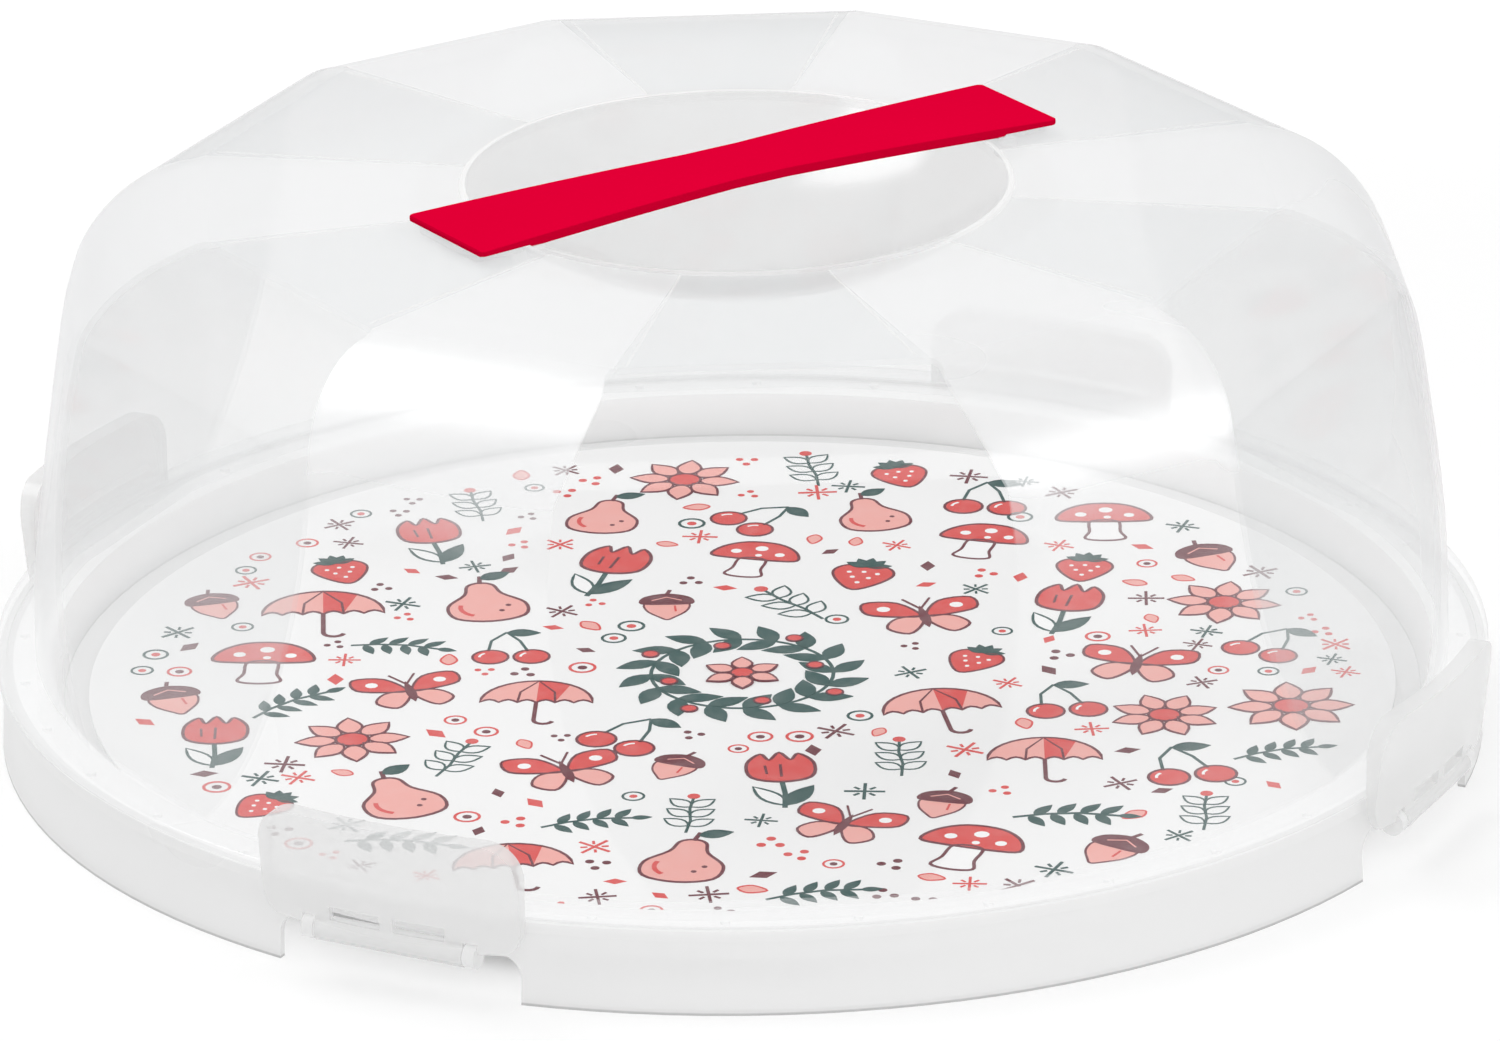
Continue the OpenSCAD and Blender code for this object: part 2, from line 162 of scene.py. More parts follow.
# %% [markdown]
# ## Small tools for materials
#
# A finish is a tree of shader nodes. Writing `0.2 + 0.5 * grain` is easier to read than ten node calls, so a
# small class wraps a socket and turns Python's operators into Math nodes. Every other node comes from one
# method.

# %% Wrap sockets and nodes
def operator(operation, swapped=False):
    """A method of Value that makes one Math node."""
    def method(self, other):
        first, second = (other, self) if swapped else (self, other)
        return self.owner.node("ShaderNodeMath", {"operation": operation}, {0: first, 1: second})

    return method


class Value:
    """A number socket of a shader tree that can be used in sums."""

    def __init__(self, owner, socket):
        self.owner, self.socket = owner, socket

    __add__, __radd__ = operator("ADD"), operator("ADD", True)
    __sub__, __rsub__ = operator("SUBTRACT"), operator("SUBTRACT", True)
    __mul__, __rmul__ = operator("MULTIPLY"), operator("MULTIPLY", True)
    __pow__, __lt__, __gt__ = operator("POWER"), operator("LESS_THAN"), operator("GREATER_THAN")

    def step(self, low, high):
        """0 below low, 1 above high, and a soft rise between them."""
        smooth = {"interpolation_type": "SMOOTHSTEP"}
        return self.owner.node("ShaderNodeMapRange", smooth, {"Value": self, 1: low, 2: high})


class Nodes:
    """Adds nodes to a shader tree."""

    def __init__(self, owner):
        owner.use_nodes = True
        self.tree = owner.node_tree

    def node(self, kind, settings=None, sockets=None, output=0):
        made = self.tree.nodes.new(kind)
        for key, value in (settings or {}).items():
            setattr(made, key, value)
        for key, value in (sockets or {}).items():
            self.feed(made.inputs[key], value)
        return Value(self, made.outputs[output])

    def feed(self, socket, value):
        if isinstance(value, Value):
            self.tree.links.new(value.socket, socket)
        else:
            socket.default_value = value


class Finish(Nodes):
    """A material and the tools to build it."""

    def __init__(self, name):
        self.material = bpy.data.materials.new(name)
        super().__init__(self.material)
        self.shader = self.tree.nodes["Principled BSDF"]
        self.place = self.node("ShaderNodeTexCoord", output="Object")

    def set(self, **sockets):
        """Sets sockets of the main shader; underscores stand for spaces."""
        for key, value in sockets.items():
            self.feed(self.shader.inputs[key.replace("_", " ")], value)
        return self

    def noise(self, scale, detail):
        return self.node(
            "ShaderNodeTexNoise",
            sockets={"Vector": self.place, "Scale": scale, "Detail": detail, "Roughness": 0.5},
            output="Fac",
        )

    def mix_colour(self, factor, low, high):
        return self.node("ShaderNodeMix", {"data_type": "RGBA"}, {0: factor, 6: low, 7: high}, output=2)

    def bump(self, height, strength, distance):
        sockets = {"Height": height, "Strength": strength, "Distance": distance}
        return self.node("ShaderNodeBump", sockets=sockets)


def from_screen(red, green, blue):
    """The linear colour, with full alpha, of a screen colour given in 0 to 255."""
    def channel(v):
        v /= 255
        return v / 12.92 if v <= 0.04045 else ((v + 0.055) / 1.055) ** 2.4

    return (channel(red), channel(green), channel(blue), 1.0)


# %% [markdown]
# ## Finish: clear polypropylene
#
# The dome is polypropylene: almost clear where the mould is polished, softly hazy where it is satin, and
# greyer at grazing angles, where the eye looks through more plastic. Real refraction through four thin walls
# costs much light and adds noise, so the walls are made see-through with Alpha, which rises with Layer Weight
# towards grazing views. Alpha thins the gloss along with the haze, so a high index of refraction brings the
# gloss back to its real strength. Haze scatters light forward but hardly stops it, so shadow rays and bounced
# light pass more easily than the eye does. Seen face on, a clear wall takes a little light away but adds
# none, so its colour is dark there; that keeps the print behind it strong. The satin walls carry less haze at
# their foot than at their shoulder. The dome's own shell throws no shadow and takes no part in bounced light
# at all: its haze would otherwise dim the print a second time.

# %% Heights at which the finishes change, in metres as a shader reads them
WALL_FADE = (0.03, 0.105)
SHOULDER_FADE = (0.086, 0.112)
# The painted shadow on a plastic's lowest edge fades out between these heights.
PAINTED_FOOT_SHADOW_FADE = (0.0003, 0.0008)
# Painted glow starts above this height.
PAINTED_GLOW_ABOVE = 0.0098


# %% Clear and satin plastic
def clear_plastic(name, colour, face_on, grazing, power, rough, index, deep=None, low=1.0, passes=0.0,
                  painted_glow=0.0, within=1.0, foot=None):
    """A see-through plastic. Its haze is face_on opaque from in front and grazing from the side, and power
    tells how late it rises between them. Its gloss has the roughness rough and an index of refraction. deep
    is its colour face on, low the share of haze left at a wall's foot, passes the share that shadow and
    bounced light miss, glow a painted light: an emission within a distance of the axis that stands in for
    light coming through the plastic, and foot a painted shadow: a darker colour on its lowest edge, where it
    stands in its own shadow. Colours are screen colours."""
    finish = Finish(name)
    facing = finish.node("ShaderNodeLayerWeight", sockets={"Blend": 0.5}, output="Facing")
    cloud = finish.noise(11.0, 1.0)
    haze = face_on * (0.85 + 0.3 * cloud)
    height = finish.node("ShaderNodeSeparateXYZ", sockets={"Vector": finish.place}, output="Z")
    tone = colour = from_screen(*colour)
    if deep:
        depth = facing * 4.0
        grazing = grazing * (0.45 + 0.55 * height.step(*WALL_FADE))
        if low < 1.0:
            shoulder = height.step(*SHOULDER_FADE)
            haze = haze * (low + (1 - low) * shoulder)
            depth = depth + shoulder
        tone = finish.mix_colour(depth, from_screen(*deep), colour)
    seen = haze + (grazing - haze) * facing**power
    if passes:
        shadow = finish.node("ShaderNodeLightPath", output="Is Shadow Ray")
        bounce = finish.node("ShaderNodeLightPath", output="Is Diffuse Ray")
        seen = seen * (1 - passes * (shadow + bounce))
    # foot paints a shadow: the lowest edge gets a darker colour, where the plastic stands in its own shadow.
    if foot:
        tone = finish.mix_colour(height.step(*PAINTED_FOOT_SHADOW_FADE), from_screen(*foot), colour)
    # glow paints light: an emission inside a radius and above a height, standing in for light that comes
    # through the plastic.
    if painted_glow:
        multiply, length = {"operation": "MULTIPLY"}, {"operation": "LENGTH"}
        flat = finish.node("ShaderNodeVectorMath", multiply, {0: finish.place, 1: (1, 1, 0)})
        reach = finish.node("ShaderNodeVectorMath", length, {0: flat}, output="Value")
        inside = (reach < within) * (height > PAINTED_GLOW_ABOVE)
        light = finish.mix_colour(inside, (0, 0, 0, 1), (painted_glow, painted_glow, painted_glow, 1))
        finish.set(Emission_Color=light, Emission_Strength=1.0)
    finish.set(
        Base_Color=tone,
        Roughness=rough * (0.75 + 0.5 * cloud),
        IOR=index,
        Alpha=seen,
        Normal=finish.bump(finish.noise(16.0, 0.0), 0.10, 0.004),
    )
    return finish.material


GREY = (70, 72, 73)
POLISHED = clear_plastic("polished_clear", (220, 222, 223), 0.050, 0.95, 1.7, 0.08, 3.0, deep=GREY)
SATIN = clear_plastic("satin_clear", (236, 237, 238), 0.28, 0.90, 1.7, 0.30, 3.0, deep=GREY, low=0.10)
POLISHED_TOP = clear_plastic("polished_clear_top", (228, 230, 231), 0.16, 0.85, 2.0, 0.10, 1.5)
# The recess's haze is a darker grey than the rest of the dome: painted shade in the recess.
PAINTED_SHADE_RECESS = clear_plastic("recess_clear_painted_shade", (158, 160, 161), 0.15, 0.28, 1.8, 0.16, 3.0)
# The lip ring gets a white haze: a painted highlight along its rolled edge.
PAINTED_LIP_HIGHLIGHT = clear_plastic("lip_painted_highlight", (255, 255, 255), 0.28, 0.60, 1.5, 0.20, 1.8)
FOOT = clear_plastic("flange_clear", (240, 241, 242), 0.12, 0.50, 2.2, 0.12, 3.0)
# The tray's glow is painted light inside its rim, and foot paints a shadow along its lowest edge.
MILKY = clear_plastic(
    "milky_tray", (238, 238, 238), 0.78, 0.92, 2.0, 0.30, 1.5, passes=0.85, painted_glow=0.12, within=0.1670,
    foot=(190, 190, 190),
)
# The latches glow all over: painted light that also lifts their shaded slots.
LATCH = clear_plastic("clear_latch", (224, 224, 224), 0.50, 0.75, 2.4, 0.16, 1.6, passes=0.6, painted_glow=0.07)
# The raised lines are real; their whiter haze is a painted highlight along them.
CREASE_WITH_PAINTED_HIGHLIGHT = clear_plastic("crease_clear", (250, 250, 250), 0.12, 0.35, 2.0, 0.20, 2.0)
CLEAR = (POLISHED, SATIN, POLISHED_TOP, PAINTED_SHADE_RECESS, PAINTED_LIP_HIGHLIGHT, FOOT, MILKY, LATCH, CREASE_WITH_PAINTED_HIGHLIGHT)
print("clear finishes:", [finish.name for finish in CLEAR])

# %% [markdown]
# ## The dome
#
# The round wall is an arc, each flat panel is a leaning line that turns over an arc into a narrow bevel, and
# each soft panel turns over one larger arc. At any height the dome's radius is the smallest of the three, so
# one function gives the whole shape. The columns of the mesh follow the seam between a flat and a soft panel,
# which keeps that line crisp while both panels stay smooth.

# %% The drawing's sizes, in millimetres
LID_TOP, LID_WALL = 129.9, 1.5
FLANGE_LOW, FLANGE_HIGH, FLANGE_R = 20.5, 22.7, 171.0
WALL_FOOT, WALL_BULGE = 161.8, 380.0
EDGE_D, BEVEL_W, EDGE_SLOPE = 118.0, 4.0, math.radians(14)
FLAT_FOOT, FLAT_LEAN = 159.5, math.radians(10.2)
SOFT_FOOT, SOFT_LEAN, SOFT_SLOPE, CROWN = 164.0, math.radians(8.5), math.radians(9), 0.5
RECESS_R, RECESS_DEPTH, LIP_TOP = 60.5, 21.0, 130.7
LIP_OUTLINE = ((61.75, 130.68), (62.15, LIP_TOP), (62.5, 130.55), (62.75, 130.2), (62.88, LID_TOP))
FLANGE_OUTLINE = (
    (163.2, FLANGE_HIGH), (166.5, FLANGE_HIGH), (170.4, FLANGE_HIGH), (170.85, 22.5), (FLANGE_R, 22.1),
    (FLANGE_R, 21.0), (170.85, 20.65), (170.5, FLANGE_LOW), (165.0, FLANGE_LOW),
)
HALF_PANEL = math.radians(15)
BOWL_R = (RECESS_R**2 + RECESS_DEPTH**2) / (2 * RECESS_DEPTH)
BOWL_Z = LID_TOP + BOWL_R - RECESS_DEPTH
BEVEL_D, BEVEL_Z = EDGE_D + BEVEL_W, LID_TOP - BEVEL_W * math.tan(EDGE_SLOPE)
FLAT_N = FLAT_FOOT * math.cos(FLAT_LEAN) + FLANGE_HIGH * math.sin(FLAT_LEAN)
BEVEL_N = BEVEL_D * math.cos(FLAT_LEAN) + BEVEL_Z * math.sin(FLAT_LEAN)
FLAT_ARC = (FLAT_N - BEVEL_N) / (1 - math.sin(EDGE_SLOPE + FLAT_LEAN))
FLAT_AXIS = (BEVEL_D - FLAT_ARC * math.sin(EDGE_SLOPE), BEVEL_Z - FLAT_ARC * math.cos(EDGE_SLOPE))
SOFT_ARC = CROWN / (1 - math.cos(SOFT_SLOPE))
SOFT_N = SOFT_FOOT * math.cos(SOFT_LEAN) + FLANGE_HIGH * math.sin(SOFT_LEAN)
SOFT_AXIS_Z = LID_TOP + CROWN - SOFT_ARC
SOFT_AXIS = ((SOFT_N - SOFT_ARC - SOFT_AXIS_Z * math.sin(SOFT_LEAN)) / math.cos(SOFT_LEAN), SOFT_AXIS_Z)


# %% How far each surface lies from the axis at height z
def leaning_arc(z, axis, arc, lean, foot_n):
    """Distance of a leaning line that turns over an arc."""
    if z < axis[1] + arc * math.sin(lean):
        return (foot_n - z * math.sin(lean)) / math.cos(lean)
    return axis[0] + math.sqrt(max(arc**2 - (z - axis[1]) ** 2, 0))


def flat_reach(z, inset):
    arc = FLAT_ARC - inset
    turn_z = FLAT_AXIS[1] + arc * math.cos(EDGE_SLOPE)
    if z > turn_z:
        turn_d = FLAT_AXIS[0] + arc * math.sin(EDGE_SLOPE)
        return turn_d - (z - turn_z) / math.tan(EDGE_SLOPE)
    return leaning_arc(z, FLAT_AXIS, arc, FLAT_LEAN, FLAT_N - inset)


def soft_reach(z, inset):
    return leaning_arc(z, SOFT_AXIS, SOFT_ARC - inset, SOFT_LEAN, SOFT_N - inset)


def round_reach(z, inset):
    arc = WALL_BULGE - inset
    return WALL_FOOT - WALL_BULGE + math.sqrt(arc**2 - (z - FLANGE_HIGH) ** 2)


def dome_radius(z, angle, inset):
    """Radius of the dome at an angle from the middle of a flat panel, up to the middle of a soft one."""
    soft = soft_reach(z, inset) / math.cos(2 * HALF_PANEL - angle)
    return min(flat_reach(z, inset) / math.cos(angle), soft, round_reach(z, inset))


def seam_angle(z, inset):
    """Angle at which the flat panel gives way to the soft one."""
    low, high = 0.0, 2 * HALF_PANEL
    for _ in range(30):
        middle = (low + high) / 2
        soft = soft_reach(z, inset) / math.cos(2 * HALF_PANEL - middle)
        if flat_reach(z, inset) / math.cos(middle) < min(soft, round_reach(z, inset)):
            low = middle
        else:
            high = middle
    return (low + high) / 2


print("seam angle, degrees:", [round(math.degrees(seam_angle(z, 0)), 1) for z in (25, 60, 100, 128)])

# %% Columns of one ring of the dome
FLAT_COLUMNS, SOFT_COLUMNS, PANEL_PAIRS = 6, 9, 6
PERIOD = 2 * (FLAT_COLUMNS + SOFT_COLUMNS)
COLUMNS = PERIOD * PANEL_PAIRS


def column_angles(seam):
    """(angle from the flat panel's middle, angle round the lid) of every column."""
    half = list(np.linspace(0, seam, FLAT_COLUMNS + 1))
    half += list(np.linspace(seam, 2 * HALF_PANEL, SOFT_COLUMNS + 1))[1:]
    period = [(a, a) for a in half] + [(a, 4 * HALF_PANEL - a) for a in half[-2:0:-1]]
    return [(a, b + 4 * HALF_PANEL * k) for k in range(PANEL_PAIRS) for a, b in period]


def is_flat_column(c):
    place = c % PERIOD
    return place < FLAT_COLUMNS or place >= PERIOD - FLAT_COLUMNS


def dome_ring(z, inset):
    return [
        (dome_radius(z, a, inset) * math.cos(b), dome_radius(z, a, inset) * math.sin(b), z)
        for a, b in column_angles(seam_angle(z, inset))
    ]


def round_ring(radius, z, seam=HALF_PANEL):
    return [(radius * math.cos(b), radius * math.sin(b), z) for _, b in column_angles(seam)]


def blend_rings(first, second, steps):
    """Rings between two rings, both left out."""
    a, b = np.array(first), np.array(second)
    return [[tuple(p) for p in a + (b - a) * s] for s in np.linspace(0, 1, steps + 2)[1:-1]]


# %% Stack the rings of the whole lid
DENSE_FROM, LOWER_RINGS, UPPER_RINGS = 98, 18, 22
BOWL_RINGS, UNDER_RINGS, BLEND_RINGS = 22, 18, 4
BOWL_GAP = 0.15


def wall_heights(low, top, turn):
    """Heights of the wall's rings, dense near the top; turn is where the bevel starts."""
    lower = list(np.linspace(low, DENSE_FROM, LOWER_RINGS))
    upper = [top - (top - DENSE_FROM) * (1 - s) ** 2 for s in np.linspace(0, 1, UPPER_RINGS)][1:]
    return sorted(lower + upper + [turn])


foot_seam = seam_angle(FLANGE_HIGH, 0)
rings = []
bowl_top = math.acos((BOWL_Z - LIP_TOP + BOWL_GAP) / BOWL_R)
for t in np.linspace(0, bowl_top, BOWL_RINGS)[1:]:
    rings.append(round_ring(BOWL_R * math.sin(t), BOWL_Z - BOWL_R * math.cos(t)))
bowl_rings = len(rings)
rings += [round_ring(radius, z) for radius, z in LIP_OUTLINE]
top_edge = dome_ring(LID_TOP, 0)
top_from = len(rings)
rings += blend_rings(rings[-1], top_edge, BLEND_RINGS)
edge_ring = len(rings)
rings += [dome_ring(z, 0) for z in reversed(wall_heights(FLANGE_HIGH, LID_TOP, BEVEL_Z))]
wall_to = len(rings)
rings += [round_ring(radius, z, foot_seam) for radius, z in FLANGE_OUTLINE]
inner_from = len(rings)
inner_turn = FLAT_AXIS[1] + (FLAT_ARC - LID_WALL) * math.cos(EDGE_SLOPE)
rings += [dome_ring(z, LID_WALL) for z in wall_heights(FLANGE_LOW, LID_TOP - LID_WALL, inner_turn)]
inner_edge = len(rings)
under_bowl = BOWL_R + LID_WALL
under_r = math.sqrt(under_bowl**2 - (BOWL_Z - LID_TOP + LID_WALL) ** 2)
under_start = round_ring(under_r, LID_TOP - LID_WALL)
rings += blend_rings(rings[-1], under_start, BLEND_RINGS)
under_from = len(rings)
under_top = math.asin(under_r / under_bowl)
for t in np.linspace(under_top, 0, UNDER_RINGS)[:-1]:
    rings.append(round_ring(under_bowl * math.sin(t), BOWL_Z - under_bowl * math.cos(t)))
points = [p for ring in rings for p in ring]
points += [(0, 0, BOWL_Z - BOWL_R), (0, 0, BOWL_Z - BOWL_R - LID_WALL)]
lid_shell = new_object("lid_shell", points, ring_faces(len(rings), COLUMNS, True, True))
print("lid shell:", len(rings), "rings of", COLUMNS, "columns")


# %% Seams, finishes and normals of the lid
def on_seam(first, second):
    """True for an edge that runs down the line between two panels, on the outside or the inside."""
    if abs(first - second) != COLUMNS or max(first, second) >= len(rings) * COLUMNS:
        return False
    ring, column = min(first, second) // COLUMNS, first % COLUMNS % PERIOD
    inside_panels = top_from - 1 <= ring < wall_to - 1 or inner_from <= ring < inner_edge + BLEND_RINGS
    return inside_panels and column in (FLAT_COLUMNS, PERIOD - FLAT_COLUMNS)


def on_flat_edge(first, second):
    """True for an edge along the crisp outer border of the top, on a flat panel."""
    if first // COLUMNS != second // COLUMNS or first // COLUMNS not in (edge_ring, inner_edge - 1):
        return False
    return is_flat_column(min(first % COLUMNS, second % COLUMNS))


FLAT_WALL, SOFT_PANEL, FLANGE, RECESS, RIM, FLAT_TOP = range(6)
for finish in (POLISHED, SATIN, FOOT, PAINTED_SHADE_RECESS, PAINTED_LIP_HIGHLIGHT, POLISHED_TOP):
    lid_shell.data.materials.append(finish)
for number, polygon in enumerate(lid_shell.data.polygons):
    ring, column = divmod(number, COLUMNS)
    on_panel = top_from - 1 <= ring < wall_to - 1 or inner_from <= ring < under_from - 1
    on_top = top_from - 1 <= ring < edge_ring or inner_edge - 1 <= ring < under_from - 1
    if on_panel and not is_flat_column(column):
        polygon.material_index = SOFT_PANEL
    elif on_panel:
        polygon.material_index = FLAT_TOP if on_top else FLAT_WALL
    elif wall_to - 1 <= ring < inner_from:
        polygon.material_index = FLANGE
    else:
        polygon.material_index = RIM if bowl_rings - 1 <= ring < top_from - 1 else RECESS
crisp(lid_shell, 30, lambda a, b: on_seam(a, b) or on_flat_edge(a, b))
lid_shell.visible_shadow = False
lid_shell.visible_diffuse = False
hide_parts("lid")
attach(lid_shell, "lid")


# %% [markdown]
# ## Small parts of the dome
#
# The dome's top carries what holds the handle: a pad at each end, four small nubs that grip its sides, and
# four round bosses under the top. The pegs on the pads are hidden in the bar and aren't drawn. Twelve fine
# raised lines run out from the recess to the corners of the top. Each line is the same bar, turned by 30
# degrees, so Geometry Nodes repeat it.

# %% Sizes of the small parts
HANDLE_TURN = math.radians(60)
PAD_X, PAD_W, TAB_LOW = (64.5, 77.0), 24.0, 132.2
NUB_X, NUB_W, NUB_Y = (61.7, 65.7), 2.6, 14.5
PEG_D, PEG_SIDE, BOSS_R, BOSS_LOW = 69.5, 8.0, 3.5, 124.4
CREASE_W, CREASE_TOP_W, CREASE_H, CREASE_END, CREASE_FROM = 0.7, 0.4, 0.2, 121.1, 62.9
SEAT_GAP, NUB_LIFT, MOULD_EDGE = 0.02, 0.3, 0.4


# %% A block with rounded edges, and a round boss
def rounded_block(low, high, edge):
    bm = bmesh.new()
    bmesh.ops.create_cube(bm, size=1.0)
    middle = [(a + b) / 2 for a, b in zip(low, high)]
    size = [b - a for a, b in zip(low, high)]
    for v in bm.verts:
        v.co = Vector([m + c * s for m, c, s in zip(middle, v.co, size)])
    bmesh.ops.bevel(bm, geom=bm.edges[:], offset=edge, segments=2, affect="EDGES", profile=0.5)
    points, faces = [tuple(v.co) for v in bm.verts], [[v.index for v in f.verts] for f in bm.faces]
    bm.free()
    return points, faces


def round_boss(x, y, radius, low, high):
    edge, columns = 0.5, 24
    outline = ((radius - edge, low), (radius, low + edge), (radius, high))
    points = [(px, py, z) for r, z in outline for px, py in circle(x, y, r, columns)]
    faces = [tuple(range(columns))[::-1]] + ring_faces(3, columns)
    return points, faces + [tuple(range(2 * columns, 3 * columns))]


def joined(name, parts):
    """One object from several (points, faces) pairs."""
    points, faces = [], []
    for p, f in parts:
        faces += [[i + len(points) for i in face] for face in f]
        points += p
    return new_object(name, points, faces)


# %% Pads, nubs and bosses
fittings = []
for end in (0, math.pi):
    pad_low = (PAD_X[0], -PAD_W / 2, LID_TOP + SEAT_GAP)
    pad_high = (PAD_X[1], PAD_W / 2, TAB_LOW - SEAT_GAP)
    parts = [rounded_block(pad_low, pad_high, MOULD_EDGE)]
    for side in (1, -1):
        y0, y1 = sorted((side * NUB_Y, side * (NUB_Y + NUB_W)))
        nub_low, nub_high = (NUB_X[0], y0, LID_TOP + NUB_LIFT), (NUB_X[1], y1, TAB_LOW)
        parts.append(rounded_block(nub_low, nub_high, MOULD_EDGE))
        boss_top = LID_TOP - LID_WALL - SEAT_GAP
        parts.append(round_boss(PEG_D, side * PEG_SIDE, BOSS_R, BOSS_LOW, boss_top))
    fittings += [(spun(p, HANDLE_TURN + end), f) for p, f in parts]
fittings = crisp(joined("lid_fittings", fittings), 40)
fittings.data.materials.append(FOOT)
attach(fittings, "lid")


# %% Start a tree of geometry nodes, and run one
def new_tree(name, inputs):
    """A geometry tree with named inputs, and the function that adds nodes to it."""
    tree = bpy.data.node_groups.new(name, "GeometryNodeTree")
    tree.is_modifier = True
    for key, kind in inputs.items():
        tree.interface.new_socket(key, in_out="INPUT", socket_type=f"NodeSocket{kind}")
    tree.interface.new_socket("Result", in_out="OUTPUT", socket_type="NodeSocketGeometry")

    def add(kind, sockets=None, **settings):
        made = tree.nodes.new(kind)
        for key, value in settings.items():
            setattr(made, key, value)
        for key, value in (sockets or {}).items():
            if isinstance(value, bpy.types.NodeSocket):
                tree.links.new(value, made.inputs[key])
            else:
                made.inputs[key].default_value = value
        return made

    return tree, add


def end_tree(add, spread, finish):
    """Ends a tree: its instances become real faces with one finish."""
    real = add("GeometryNodeRealizeInstances", {0: spread.outputs[0]})
    ink = add("GeometryNodeSetMaterial", {"Geometry": real.outputs[0], "Material": finish})
    add("NodeGroupOutput", {0: ink.outputs[0]})


def run_tree(holder, tree, name, **inputs):
    """Runs a tree on an object and returns its result as a plain mesh object."""
    modifier = holder.modifiers.new("nodes", "NODES")
    modifier.node_group = tree
    sockets = {s.name: s.identifier for s in tree.interface.items_tree if s.in_out == "INPUT"}
    for key, value in inputs.items():
        modifier[sockets[key.replace("_", " ")]] = value
    bpy.context.view_layer.update()
    graph = bpy.context.evaluated_depsgraph_get()
    mesh = bpy.data.meshes.new_from_object(holder.evaluated_get(graph))
    holder.modifiers.remove(modifier)
    print(name, "faces:", len(mesh.polygons))
    return put(name, mesh)


# %% The tree that repeats a part round the lid's axis
def round_tree():
    kinds = {"Part": "Geometry", "Count": "Int", "First turn": "Float", "Finish": "Material"}
    tree, add = new_tree("repeat_round_the_axis", kinds)
    given = add("NodeGroupInput").outputs
    places = add("GeometryNodePoints", {"Count": given["Count"]})
    number = add("GeometryNodeInputIndex").outputs[0]
    step = add("ShaderNodeMath", {0: math.tau, 1: given["Count"]}, operation="DIVIDE").outputs[0]
    values = {0: number, 1: step, 2: given["First turn"]}
    angle = add("ShaderNodeMath", values, operation="MULTIPLY_ADD").outputs[0]
    turn = add("ShaderNodeCombineXYZ", {"Z": angle}).outputs[0]
    values = {"Points": places.outputs[0], "Instance": given["Part"], "Rotation": turn}
    end_tree(add, add("GeometryNodeInstanceOnPoints", values), given["Finish"])
    return tree


# %% The twelve crease lines
half_w, half_top, low, high = CREASE_W / 2, CREASE_TOP_W / 2, LID_TOP + 0.01, LID_TOP + CREASE_H
profile = ((-half_w, low), (half_w, low), (half_top, high), (-half_top, high))
points = [(x, y, z) for x in (CREASE_FROM, CREASE_END) for y, z in profile]
faces = [(3, 2, 1, 0), (4, 5, 6, 7), (4, 5, 1, 0), (5, 6, 2, 1), (6, 7, 3, 2), (7, 4, 0, 3)]
bar = new_object("crease_bar", points, faces, flat=True)
creases = run_tree(
    bar, round_tree(), "crease_lines", Count=2 * PANEL_PAIRS, First_turn=HALF_PANEL, Finish=CREASE_WITH_PAINTED_HIGHLIGHT,
)
bpy.data.objects.remove(bar)
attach(creases, "lid")

# %% [markdown]
# ## The red bar
#
# The handle is one injection-moulded bar with a bow-tie outline: narrow in the middle, where fingers go round
# it, and wide at the ends, where thin tabs lie on the pads. It arches up by little more than a millimetre. It
# is built as a row of cross-sections, each a rectangle with rounded edges, so that its edges catch the light
# as moulded edges do. Its sides are painted a deeper red than its top, as painted shade for the sides that
# get less light. It is hidden from bounced and glossy rays, which would tint the lid red.

# %% The handle's shape along its length
BAR_HALF, BAR_END_W, BAR_WAIST_W, WAIST_HALF = 78.0, 31.0, 21.0, 7.0
BAR_T, BAR_ARCH, BAR_TOP, TAB_FROM, BAR_CORNER = 2.4, 1.4, 133.6, 64.0, 1.6
BAR_EDGE, END_ROUND = 0.45, 0.3
ARCH_R = (BAR_HALF**2 + BAR_ARCH**2) / (2 * BAR_ARCH)


def bar_half_width(x):
    x = abs(x)
    widening = (BAR_END_W - BAR_WAIST_W) / 2
    half = BAR_WAIST_W / 2 + widening * max(x - WAIST_HALF, 0) / (BAR_HALF - WAIST_HALF)
    past = x - (BAR_HALF - BAR_CORNER)
    return half if past <= 0 else half - BAR_CORNER + math.sqrt(max(BAR_CORNER**2 - past**2, 0))


def bar_section(x, shrink=0.0):
    """A ring of points round the bar at x; shrink pulls it in for the rounded ends."""
    top = BAR_TOP + BAR_ARCH - (ARCH_R - math.sqrt(ARCH_R**2 - x**2)) - shrink
    low = (TAB_LOW if abs(x) > TAB_FROM else top - BAR_T) + shrink
    w, edge = bar_half_width(x) - shrink, BAR_EDGE
    corners = ((w, top, 0), (-w, top, 90), (-w, low, 180), (w, low, 270))
    ring = []
    for y, z, start in corners:
        cy, cz = y - math.copysign(edge, y), z - edge if start < 180 else z + edge
        ring += [(x, *p) for p in arc(cy, cz, edge, start, start + 90, 4)]
    return ring


stations = [0, 3.5, 7, 7.3, 14, 22, 30, 38, 46, 54, 60, 63.7, 64.3, 68, 72, 75, 76.4, 76.9, 77.4, 77.7]
stations = [-x for x in stations[:0:-1]] + stations
sections = [bar_section(-BAR_HALF, END_ROUND)] + [bar_section(x) for x in stations]
sections.append(bar_section(BAR_HALF, END_ROUND))
count, last = len(sections[0]), (len(sections) - 1) * len(sections[0])
faces = ring_faces(len(sections), count) + [tuple(range(count))[::-1], tuple(range(last, last + count))]
points = spun([p for section in sections for p in section], HANDLE_TURN)
handle_bar = new_object("handle_bar", points, faces)
crisp(face_outward(handle_bar), 40)


# %% Finish of the bar
RED = Finish("red_bar")
grain = RED.noise(420.0, 2.0)
direction = RED.node("ShaderNodeTexCoord", output="Normal")
facing_up_for_painted_shade = RED.node("ShaderNodeSeparateXYZ", sockets={"Vector": direction}, output="Z")
face = RED.mix_colour(RED.noise(24.0, 2.0), from_screen(222, 0, 51), from_screen(229, 0, 56))
